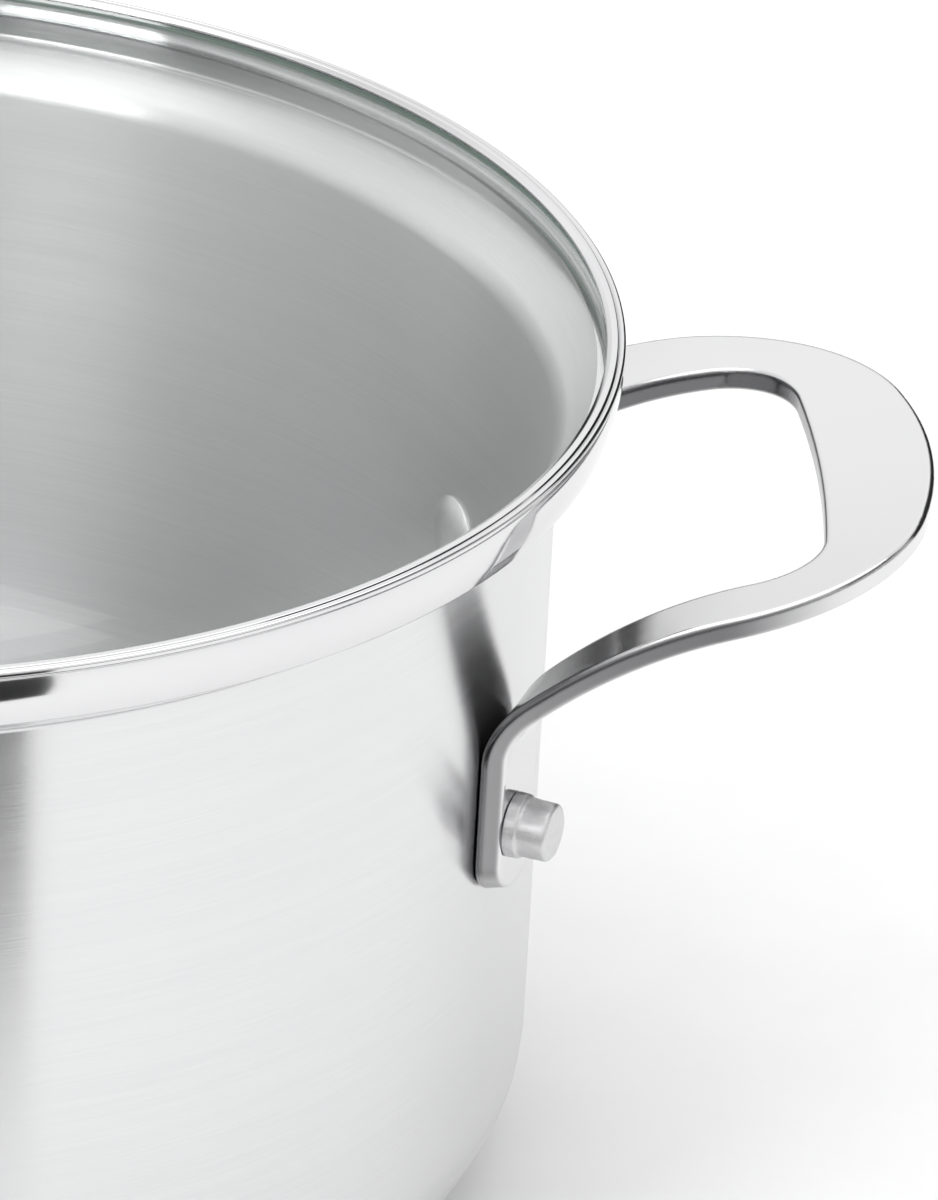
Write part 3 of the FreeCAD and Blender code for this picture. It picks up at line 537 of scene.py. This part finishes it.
# %% Spin the lid ring
ring_section = section(
    (159.6, RIM_MM - 4.3), (162.85, RIM_MM - 4.3), (162.85, RIM_MM + 0.1),
    (165.0, RIM_MM + 0.1), (165.0, RIM_MM + 1.3), (164.0, RIM_MM + 1.3),
    (163.75, RIM_MM + 1.0), (163.4, RIM_MM + 1.45),
    (162.2, RIM_MM + 1.5), (161.2, RIM_MM + 0.95), (161.2, RIM_MM + 0.45),
    (162.25, RIM_MM + 0.45), (162.25, RIM_MM - 3.7), (159.6, RIM_MM - 3.7))
draw_thread(ring_section, {
    3: 0.3 * MM, 4: 0.55 * MM, 5: 0.3 * MM, 6: 0.2 * MM, 7: 0.3 * MM, 8: 0.5 * MM, 9: 0.25 * MM},
    segments=5)
close_thread(ring_section[0], ring_section[-1])
spin_thread(288)
settle("lid_ring", "lid", "polished_steel", polished_steel, replaced=["lid_rim_ring"])

# %% [markdown]
# ## Base cap
# A pressed steel cap closes in the aluminium heat spreader under the floor.  It is a shallow tray
# with a softly rounded edge.  A dished middle and one ring groove keep a pressed disc flat when it
# gets hot, so the underside has both.  It is turned like the pot.

# %% Spin the base cap
BASE_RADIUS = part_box("base_steel_cap")[1].x / MM

base_section = section(
    (0, 0.5), (30.0, 0.5), (33.0, 0.0), (86.0, 0.0), (87.2, 0.6), (89.8, 0.6), (91.0, 0.0),
    (BASE_RADIUS, 0.0), (BASE_RADIUS, 6.0), (BASE_RADIUS - 0.8, 6.0), (BASE_RADIUS - 0.8, 1.3),
    (0, 1.3))
draw_thread(base_section, {1: 2 * MM, 2: 2 * MM, 4: 0.6 * MM, 5: 0.6 * MM, 7: 1.6 * MM}, segments=4)
spin_thread(192)
settle("base_cap", "pot", "satin_steel", base_steel, replaced=["base_steel_cap"])

# %% [markdown]
# ## Rivets
# Each side handle is held by two rivets.  Inside the wall a rivet ends in a low dome; outside, its
# thick stub stands out through the handle's tab, with a collar round its foot and a flat, bevelled
# end.  The stub is as it came from the heading machine, so its side is lumpy: the turned shape is
# subdivided and a noise pushes it in and out by a tenth of a millimetre.  One rivet is made lying
# along X and three copies are swung round the pot.

# %% Turn one rivet
RIVET_LEVEL = RIM - 77 * MM
RIVET_TURN = 24.3


def along_x(*corners):
    """Corners given as distance along X and radius in millimetres, at the rivets' height."""
    return [(along * MM, 0, RIVET_LEVEL + radius * MM) for along, radius in corners]


rivet_section = along_x(
    (149.15, 0), (149.5, 3.4), (150.5, 6.4), (151.75, 8.0), (152.0, 7.6), (152.0, 4.0),
    (157.65, 4.0), (157.65, 6.5), (160.0, 6.35), (160.6, 5.85), (166.3, 5.75), (166.3, 0))
draw_thread(rivet_section, {
    1: 16 * MM, 2: 9 * MM, 3: 0.5 * MM, 7: 0.3 * MM, 8: 0.8 * MM, 9: 1.0 * MM, 10: 0.9 * MM},
    segments=4)
spin_thread(56, centre=(0, 0, RIVET_LEVEL), axis=(1, 0, 0))
pick("faces", lambda face: 157.7 * MM < face.calc_center_median().x < 166.4 * MM)
bpy.ops.mesh.subdivide(number_cuts=2)
bpy.ops.object.mode_set(mode="OBJECT")
rivet = bpy.context.object
bpy.ops.object.vertex_group_add()
lumpy = [vert.index for vert in rivet.data.vertices
         if 157.9 * MM < vert.co.x < 166.3 * MM and vert.co.z != RIVET_LEVEL]
rivet.vertex_groups[0].add(lumpy, 1.0, "REPLACE")
lumps = bpy.data.textures.new("headed_skin", "CLOUDS")
lumps.noise_scale = 2.6 * MM
bpy.ops.object.modifier_add(type="DISPLACE")
push = rivet.modifiers[-1]
push.texture = lumps
push.vertex_group = rivet.vertex_groups[0].name
push.strength = 0.25 * MM
bpy.ops.object.modifier_apply(modifier=push.name)
rivet.vertex_groups.clear()
print("one rivet:", len(rivet.data.vertices), "points")


# %% Swing the rivets into place
def turned_copy(original, degrees):
    """A copy with its own mesh, turned about the pot's axis, its place put into the mesh."""
    clear_selection()
    original.select_set(True)
    bpy.context.view_layer.objects.active = original
    bpy.ops.object.duplicate(linked=False)
    bpy.context.object.rotation_euler.z = math.radians(degrees)
    bpy.ops.object.transform_apply(rotation=True)
    bpy.ops.object.mode_set(mode="EDIT")


for side, heading in (("right", 0), ("left", 180)):
    for end, way in (("front", -1), ("back", 1)):
        turn = RIVET_TURN * (way if side == "right" else -way)
        turned_copy(rivet, heading + turn)
        settle(f"handle_rivet_{side}_{end}", "pot", "rivet_steel", rivet_steel, crease=60,
               replaced=[f"rivet_{side}_{end}"])
bpy.data.objects.remove(rivet)

# %% [markdown]
# ## Lid glass
# The lid is one disc of tempered glass: a flat margin that the ring grips and a shallow dome
# inside it.  Its section follows two arcs of the same radius, one glass thickness apart.  The holes
# for the handle's screw and for the steam vent go through it: the first is simply where the section
# starts, and the second is cut with a Boolean, the nearest thing to a drill.

# %% Spin the dome and drill the vent
GLASS_TOP = RIM_MM + 0.4
GLASS = 4.0
GLASS_FLAT = 157.0
DOME_RISE = 15.0
DOME_RADIUS = (GLASS_FLAT ** 2 + DOME_RISE ** 2) / (2 * DOME_RISE)
POST_HOLE = 4.0
VENT_AT = 95.0


def dome_height(radius):
    """Height of the dome's top surface at a distance from the axis, in millimetres."""
    return GLASS_TOP + DOME_RISE - DOME_RADIUS + math.sqrt(DOME_RADIUS ** 2 - radius ** 2)


arc_radii = [POST_HOLE + (GLASS_FLAT - POST_HOLE) * step / 24 for step in range(25)]
top_arc = [(radius, dome_height(radius)) for radius in arc_radii]
under_arc = [(radius, height - GLASS) for radius, height in reversed(top_arc)]
glass_section = section(*top_arc, (162.1, GLASS_TOP), (162.1, GLASS_TOP - GLASS), *under_arc)
edge_top = len(top_arc)
draw_thread(glass_section, {edge_top: 1.2 * MM, edge_top + 1: 1.2 * MM}, segments=5)
close_thread(glass_section[0], glass_section[-1])
spin_thread(288)
bpy.ops.object.mode_set(mode="OBJECT")
dome = bpy.context.object

vent_lean = -math.asin(VENT_AT / DOME_RADIUS)
dome_centre = Vector((0, 0, (GLASS_TOP + DOME_RISE - DOME_RADIUS) * MM))
vent_axis = Vector((math.sin(vent_lean), 0, math.cos(vent_lean)))
vent_place = dome_centre + vent_axis * (DOME_RADIUS - GLASS / 2) * MM


def cut_with(piece, cutter):
    """Subtract the cutter from the piece and throw the cutter away."""
    clear_selection()
    piece.select_set(True)
    bpy.context.view_layer.objects.active = piece
    bpy.ops.object.modifier_add(type="BOOLEAN")
    cut = piece.modifiers[-1]
    cut.operation = "DIFFERENCE"
    cut.solver = "EXACT"
    cut.object = cutter
    bpy.ops.object.modifier_apply(modifier=cut.name)
    bpy.data.objects.remove(cutter)
    bpy.ops.object.mode_set(mode="EDIT")


clear_selection()
bpy.ops.mesh.primitive_cylinder_add(
    vertices=48, radius=5.5 * MM, depth=4 * GLASS * MM, location=vent_place,
    rotation=(0, vent_lean, 0))
cut_with(dome, bpy.context.object)
settle("lid_glass_dome", "lid", "tempered_glass", lid_glass_clear, replaced=["lid_glass"])

# %% [markdown]
# ## Lid handle
# On the crown of the glass sit, from the bottom: a silicone pad that follows the dome, a steel boss
# and a bent strap for the fingers.  Below the glass a silicone seal, a washer and one screw pull
# them together.  The round ones are turned.  The screw has a six-sided socket, which a six-sided
# cylinder cuts into it.

# %% Turn the pads, boss and washer
CROWN = GLASS_TOP + DOME_RISE
BOSS_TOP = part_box("lid_handle_boss")[1].z / MM
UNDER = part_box("lid_inner_seal")[1].z / MM


def turn_piece(name, body, slot, finish, corners, rounds, replaced, steps=96, segments=4):
    points = section(*corners)
    draw_thread(points, {index: radius * MM for index, radius in rounds.items()}, segments)
    close_thread(points[0], points[-1])
    spin_thread(steps)
    return settle(name, body, slot, finish, replaced=[replaced])


turn_piece("handle_pad", "lid", "silicone", grey_silicone, [
    (4.2, CROWN + 0.02), (14.0, dome_height(14.0) + 0.02), (25.0, dome_height(25.0) + 0.02),
    (25.0, CROWN + 1.5), (4.2, CROWN + 1.5)],
    {2: 0.3, 3: 0.7}, "lid_handle_pad")
turn_piece("handle_boss", "lid", "polished_steel", polished_steel, [
    (2.5, CROWN + 1.5), (28.2, CROWN + 1.5), (29.0, CROWN + 2.3), (29.0, BOSS_TOP - 1.2),
    (27.2, BOSS_TOP), (2.5, BOSS_TOP)],
    {1: 0.3, 2: 0.5, 3: 1.4, 4: 2.2}, "lid_handle_boss", segments=6)
turn_piece("under_seal", "lid", "silicone", grey_silicone, [
    (4.2, UNDER - 1.5), (11.6, UNDER - 1.5), (12.0, UNDER - 0.05), (4.2, UNDER - 0.05)],
    {1: 0.5, 2: 0.3}, "lid_inner_seal", steps=72)
turn_piece("under_washer", "lid", "polished_steel", polished_steel, [
    (2.7, UNDER - 2.5), (8.7, UNDER - 2.5), (9.0, UNDER - 1.5), (2.7, UNDER - 1.5)],
    {1: 0.3, 2: 0.1}, "lid_washer", steps=72)

# %% Turn the screw and cut its socket
screw_low = UNDER - 5.5
draw_thread(section(
    (0, screw_low), (4.6, screw_low), (4.6, screw_low + 3.0), (2.5, screw_low + 3.0),
    (2.5, BOSS_TOP - 1.4), (0, BOSS_TOP - 1.4)), {1: 1.2 * MM, 2: 0.2 * MM}, segments=5)
spin_thread(72)
bpy.ops.object.mode_set(mode="OBJECT")
screw = bpy.context.object
clear_selection()
bpy.ops.mesh.primitive_cylinder_add(
    vertices=6, radius=2.3 * MM, depth=4.4 * MM, location=(0, 0, screw_low * MM))
cut_with(screw, bpy.context.object)
settle("handle_screw", "lid", "polished_steel", polished_steel, replaced=["lid_handle_screw"])

# %% [markdown]
# The finger strap is cut from thick strip and bent: two leaning feet, two generous shoulders and a
# straight bar.  Seen from the front it is one closed outline, so it is drawn as a thread, filled
# and extruded by its width, and a Bevel softens the long edges as tumbling does.

# %% Bend the finger strap
STRAP = 4.5
HALF_WIDTH = 8.5
TOP = BOSS_TOP + 36.0

strap_outline = section(
    (-24.5, BOSS_TOP), (-44.0, TOP), (44.0, TOP), (24.5, BOSS_TOP), (19.325, BOSS_TOP),
    (36.8, TOP - STRAP), (-36.8, TOP - STRAP), (-19.325, BOSS_TOP))
strap_outline = [(x, -HALF_WIDTH * MM, z) for x, y, z in strap_outline]
draw_thread(strap_outline, {1: 15 * MM, 2: 15 * MM, 5: 10.5 * MM, 6: 10.5 * MM}, segments=14)
bpy.ops.mesh.select_all(action="SELECT")
bpy.ops.mesh.edge_face_add()
bpy.ops.mesh.extrude_region_move(TRANSFORM_OT_translate={"value": (0, 2 * HALF_WIDTH * MM, 0)})
tidy_surface()
side_edges = pick("edges", lambda edge: (
    abs(edge.verts[0].co.y - edge.verts[1].co.y) < MERGE
    and max(vert.co.z for vert in edge.verts) > BOSS_TOP * MM + MERGE))
bpy.ops.mesh.bevel(offset=1.1 * MM, segments=4, profile=0.5, affect="EDGES")
settle("finger_strap", "lid", "polished_steel", polished_steel, crease=40,
       replaced=["lid_handle_arch"])
print("softened strap edges:", side_edges)

# %% [markdown]
# ## Steam vent
# A steel eyelet is set in a silicone grommet, square to the slope of the dome.  Both are turned
# upright over the origin and then leaned and moved as one would place a finished part.

# %% Turn the eyelet and the grommet
def lean_onto_dome():
    """Lean the piece with the dome's slope and put it in the middle of the glass."""
    bpy.ops.object.mode_set(mode="OBJECT")
    piece = bpy.context.object
    piece.rotation_euler.y = vent_lean
    piece.location = vent_place
    bpy.ops.object.transform_apply(location=True, rotation=True)
    bpy.ops.object.mode_set(mode="EDIT")


eyelet_section = section(
    (2.2, -2.9), (6.9, -2.9), (7.5, -2.3), (7.4, -2.1), (4.15, -2.1), (4.15, 2.1), (7.4, 2.1),
    (7.5, 2.3), (6.9, 2.9), (2.9, 2.9), (2.2, 2.2))
draw_thread(eyelet_section, {
    1: 0.4 * MM, 2: 0.2 * MM, 7: 0.2 * MM, 8: 0.4 * MM, 9: 0.4 * MM, 10: 0.4 * MM}, segments=3)
close_thread(eyelet_section[0], eyelet_section[-1])
spin_thread(64)
lean_onto_dome()
settle("vent_eyelet", "lid", "polished_steel", polished_steel, replaced=["lid_vent_eyelet"])

grommet_section = section((4.2, -2.1), (5.45, -2.1), (5.45, 2.1), (4.2, 2.1))
draw_thread(grommet_section, {1: 0.2 * MM, 2: 0.2 * MM}, segments=3)
close_thread(grommet_section[0], grommet_section[-1])
spin_thread(64)
lean_onto_dome()
settle("vent_grommet", "lid", "silicone", grey_silicone, replaced=["lid_vent_grommet"])

# %% [markdown]
# ## Jar rack
# Three wire rings carry eleven straight wires, and two bent wires keep them off the hot floor.
# Round wire is easiest as a path with a thickness: the thread of edges becomes a curve, the curve
# gets a bevel depth, and the result goes back to being a mesh.  Where a ring was butt-welded it is
# a little thicker, and a flattened bead of weld sits at every crossing.

# %% Turn threads into wire
def thicken(radius, sides=3, caps=True):
    """Make the thread in edit mode a round wire: mesh to curve, bevel depth, back to mesh."""
    bpy.ops.object.mode_set(mode="OBJECT")
    bpy.ops.object.convert(target="CURVE")
    wire = bpy.context.object
    wire.data.dimensions = "3D"
    wire.data.bevel_depth = radius
    wire.data.bevel_resolution = sides
    wire.data.use_fill_caps = caps
    bpy.ops.object.convert(target="MESH")
    bpy.ops.object.mode_set(mode="EDIT")
    tidy_surface()


RINGS = {"rack_outer_ring": 2.5, "rack_middle_ring": 2.0, "rack_inner_ring": 2.0}
ring_radii = []

for node, wire in RINGS.items():
    low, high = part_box(node)
    radius = high.x / MM - wire
    ring_radii.append(radius)
    clear_selection()
    bpy.ops.mesh.primitive_torus_add(
        major_segments=160, minor_segments=14, major_radius=radius * MM, minor_radius=wire * MM,
        location=(0, 0, (low.z + high.z) / 2))
    bpy.ops.object.transform_apply(location=True)
    bpy.ops.object.mode_set(mode="EDIT")
    weld_half = 2.2 * MM
    pick("verts", lambda vert: vert.co.y > 0 and abs(vert.co.x) < weld_half)
    bpy.ops.transform.shrink_fatten(value=0.25 * MM)
    settle(node.replace("rack", "wire"), "rack", "rack_wire", wire_steel, replaced=[node])
print("ring radii, mm:", [round(radius, 1) for radius in ring_radii])

# %% Lay the straight wires and weld them
SLAT = 1.5
PITCH = 22.0
SLAT_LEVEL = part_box("rack_slat_wires")[0].z / MM + SLAT
wires = []
for row in range(-5, 6):
    offset = PITCH * row
    half = math.sqrt(ring_radii[0] ** 2 - offset ** 2) + SLAT
    draw_thread([(end * half * MM, offset * MM, SLAT_LEVEL * MM) for end in (-1, 1)])
    thicken(SLAT * MM)
    pick("edges", lambda edge: all(abs(abs(vert.co.x) - half * MM) < MERGE for vert in edge.verts))
    bpy.ops.mesh.bevel(offset=0.5 * MM, segments=2, affect="EDGES")
    bpy.ops.object.mode_set(mode="OBJECT")
    wires.append(bpy.context.object)
    for radius in ring_radii:
        if abs(offset) > radius - 2:
            continue
        crossing = math.sqrt(radius ** 2 - offset ** 2)
        for side in (-1, 1):
            clear_selection()
            bpy.ops.mesh.primitive_uv_sphere_add(
                segments=10, ring_count=6, radius=2.1 * MM,
                location=(side * crossing * MM, offset * MM, (SLAT_LEVEL - 1.35) * MM),
                scale=(1.15, 1.0, 0.45))
            wires.append(bpy.context.object)
clear_selection()
for wire in wires:
    wire.select_set(True)
bpy.context.view_layer.objects.active = wires[0]
bpy.ops.object.transform_apply(location=True, rotation=True, scale=True)
bpy.ops.object.join()
bpy.ops.object.mode_set(mode="EDIT")
settle("slats_and_welds", "rack", "rack_wire", wire_steel, replaced=["rack_slat_wires"])

# %% Bend the runners
RUNNER = 2.5
for side in ("right", "left"):
    low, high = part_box(f"rack_runner_{side}")
    x = (low.x + high.x) / 2
    y = math.sqrt(ring_radii[0] ** 2 - 60.0 ** 2) * MM
    floor_level = low.z + RUNNER * MM
    draw_thread([(x, -y, high.z), (x, -y, floor_level), (x, y, floor_level), (x, y, high.z)],
                {1: (high.z - floor_level) * 0.7, 2: (high.z - floor_level) * 0.7}, segments=7)
    thicken(RUNNER * MM, sides=4)
    settle(f"floor_runner_{side}", "rack", "rack_wire", wire_steel,
           replaced=[f"rack_runner_{side}"])

# %% [markdown]
# Two bails fold flat on the wires and swing up to lift the rack out.  Each turns in two short
# rolled tubes, the eyes.

# %% Turn the eyes and bend the bails
for side in ("right", "left"):
    for end in ("front", "back"):
        low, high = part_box(f"rack_eye_{side}_{end}")
        middle = (low + high) / 2
        outside, bore = 4.0 * MM, 2.3 * MM
        eye_section = [
            (middle.x, low.y, middle.z + bore), (middle.x, low.y, middle.z + outside),
            (middle.x, high.y, middle.z + outside), (middle.x, high.y, middle.z + bore)]
        draw_thread(eye_section, {index: 0.4 * MM for index in range(1, 3)}, segments=3)
        close_thread(eye_section[0], eye_section[-1])
        spin_thread(32, centre=middle, axis=(0, 1, 0))
        settle(f"bail_eye_{side}_{end}", "rack", "rack_wire", wire_steel,
               replaced=[f"rack_eye_{side}_{end}"])

BAIL = 2.0
for side, way in (("right", 1), ("left", -1)):
    low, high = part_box(f"rack_bail_{side}")
    level = (low.z + high.z) / 2
    pivot = (high.x if way > 0 else low.x) - way * BAIL * MM
    inner = (low.x if way > 0 else high.x) + way * BAIL * MM
    path = [(pivot, low.y, level), (pivot, -34 * MM, level), (inner, -34 * MM, level),
            (inner, 34 * MM, level), (pivot, 34 * MM, level), (pivot, high.y, level)]
    draw_thread(path, {index: 6 * MM for index in range(1, 5)}, segments=8)
    thicken(BAIL * MM, sides=4)
    settle(f"lift_bail_{side}", f"rack_bail_{side}", "rack_wire", wire_steel,
           replaced=[f"rack_bail_{side}"])

# %% [markdown]
# ## Studio
# Steel has no colour of its own: it shows the room.  So the room is built for the metal.  A pale
# floor and a pale ceiling make it bright, and one large soft lamp overhead and a smaller one on the
# left add form.  A dark belt just above the horizon draws the fine dark lines along every polished
# edge.  Black cards, which only reflections see, do the rest, as they do in a picture studio.

# %% Floor
bpy.ops.object.select_all(action="DESELECT")
bpy.ops.mesh.primitive_plane_add(size=14, location=(0, 0, -0.2 * MM))
studio_floor = bpy.context.object
studio_floor.name = "studio_floor"
paper = Finish("studio_paper")
paper_coordinates = paper.place()[0]
fibre = paper.noise(paper_coordinates, 40.0, detail=4.0)
paper_white = paper.blend(fibre, (0.86, 0.86, 0.86, 1), (0.90, 0.90, 0.90, 1))
studio_floor.data.materials.append(paper.done(paper.surface(
    Base_Color=paper_white, Roughness=0.85 + fibre * 0.1, Specular_IOR_Level=0.2)))

# %% Room light and lamps
world = bpy.data.worlds.new("studio_room")
bpy.context.scene.world = world
world.use_nodes = True
room = world.node_tree
room.nodes.clear()


def room_node(kind, links=None, **inputs):
    made = room.nodes.new(kind)
    for name, value in inputs.items():
        made.inputs[name.replace("_", " ")].default_value = value
    for name, socket in (links or {}).items():
        room.links.new(socket, made.inputs[name])
    return made


DARK_BELT = ((0.0, 0.03), (0.09, 0.03), (0.18, 0.9), (0.50, 1.15), (0.75, 0.9))

way = room_node("ShaderNodeTexCoord")
parts = room_node("ShaderNodeSeparateXYZ", {"Vector": way.outputs["Generated"]})
height = room_node("ShaderNodeValToRGB", {"Fac": parts.outputs["Z"]})
height.color_ramp.interpolation = "EASE"
height.color_ramp.elements.remove(height.color_ramp.elements[-1])
for index, (place, grey) in enumerate(DARK_BELT):
    ramp_stops = height.color_ramp.elements
    stop = ramp_stops[0] if index == 0 else ramp_stops.new(place)
    stop.position = place
    stop.color = (grey, grey, grey, 1)
shown = room_node("ShaderNodeLightPath")
walls = room_node("ShaderNodeBackground", {"Color": height.outputs["Color"]}, Strength=1.0)
backdrop = room_node("ShaderNodeBackground", Color=(1, 1, 1, 1), Strength=1.3)
either = room_node("ShaderNodeMixShader", {
    0: shown.outputs["Is Camera Ray"], 1: walls.outputs[0], 2: backdrop.outputs[0]})
room_node("ShaderNodeOutputWorld", {"Surface": either.outputs[0]})


def add_flag(name, corners):
    """A black card that only reflections see, with its corners in metres."""
    clear_selection()
    bpy.ops.mesh.primitive_plane_add(size=1)
    card = bpy.context.object
    card.name = name
    for vert, corner in zip(card.data.vertices, corners):
        vert.co = corner
    card.data.materials.append(flag_black)
    card.visible_camera = False
    card.visible_diffuse = False
    card.visible_shadow = False
    card.visible_transmission = False


flock = Finish("flag_black")
flag_black = flock.done(flock.surface(Base_Color=(0.006, 0.006, 0.006, 1), Roughness=0.95))
add_flag("flag_front", [
    (-0.9, -0.95, 0.002), (0.62, -0.95, 0.002), (-0.35, -0.30, 0.002), (0.175, -0.30, 0.002)])
add_flag("flag_right", [
    (1.05, -0.30, 0.50), (1.05, 0.40, 0.50), (0.90, -0.30, 1.00), (0.90, 0.40, 1.00)])
add_flag("flag_side", [
    (1.05, 0.45, 0.02), (0.45, 1.05, 0.02), (1.05, 0.45, 0.80), (0.45, 1.05, 0.80)])


def add_softbox(name, place, aim, size, power):
    """A rectangular area lamp at a place, facing a point."""
    light = bpy.data.lights.new(name, "AREA")
    light.shape = "RECTANGLE"
    light.size, light.size_y = size
    light.energy = power
    lamp = bpy.data.objects.new(name, light)
    bpy.context.scene.collection.objects.link(lamp)
    lamp.location = place
    lamp.rotation_euler = (Vector(aim) - Vector(place)).to_track_quat("-Z", "Y").to_euler()
    lamp.visible_camera = False
    print(f"{name}: {power} W, {size[0]} x {size[1]} m")


add_softbox("softbox_overhead", (0.2, 0.4, 2.2), (0, 0, 0.1), (2.4, 2.4), 19)
add_softbox("softbox_left", (-1.05, -1.05, 1.0), (0, 0, 0.1), (0.7, 1.2), 12)

bpy.context.scene.view_settings.view_transform = "Standard"
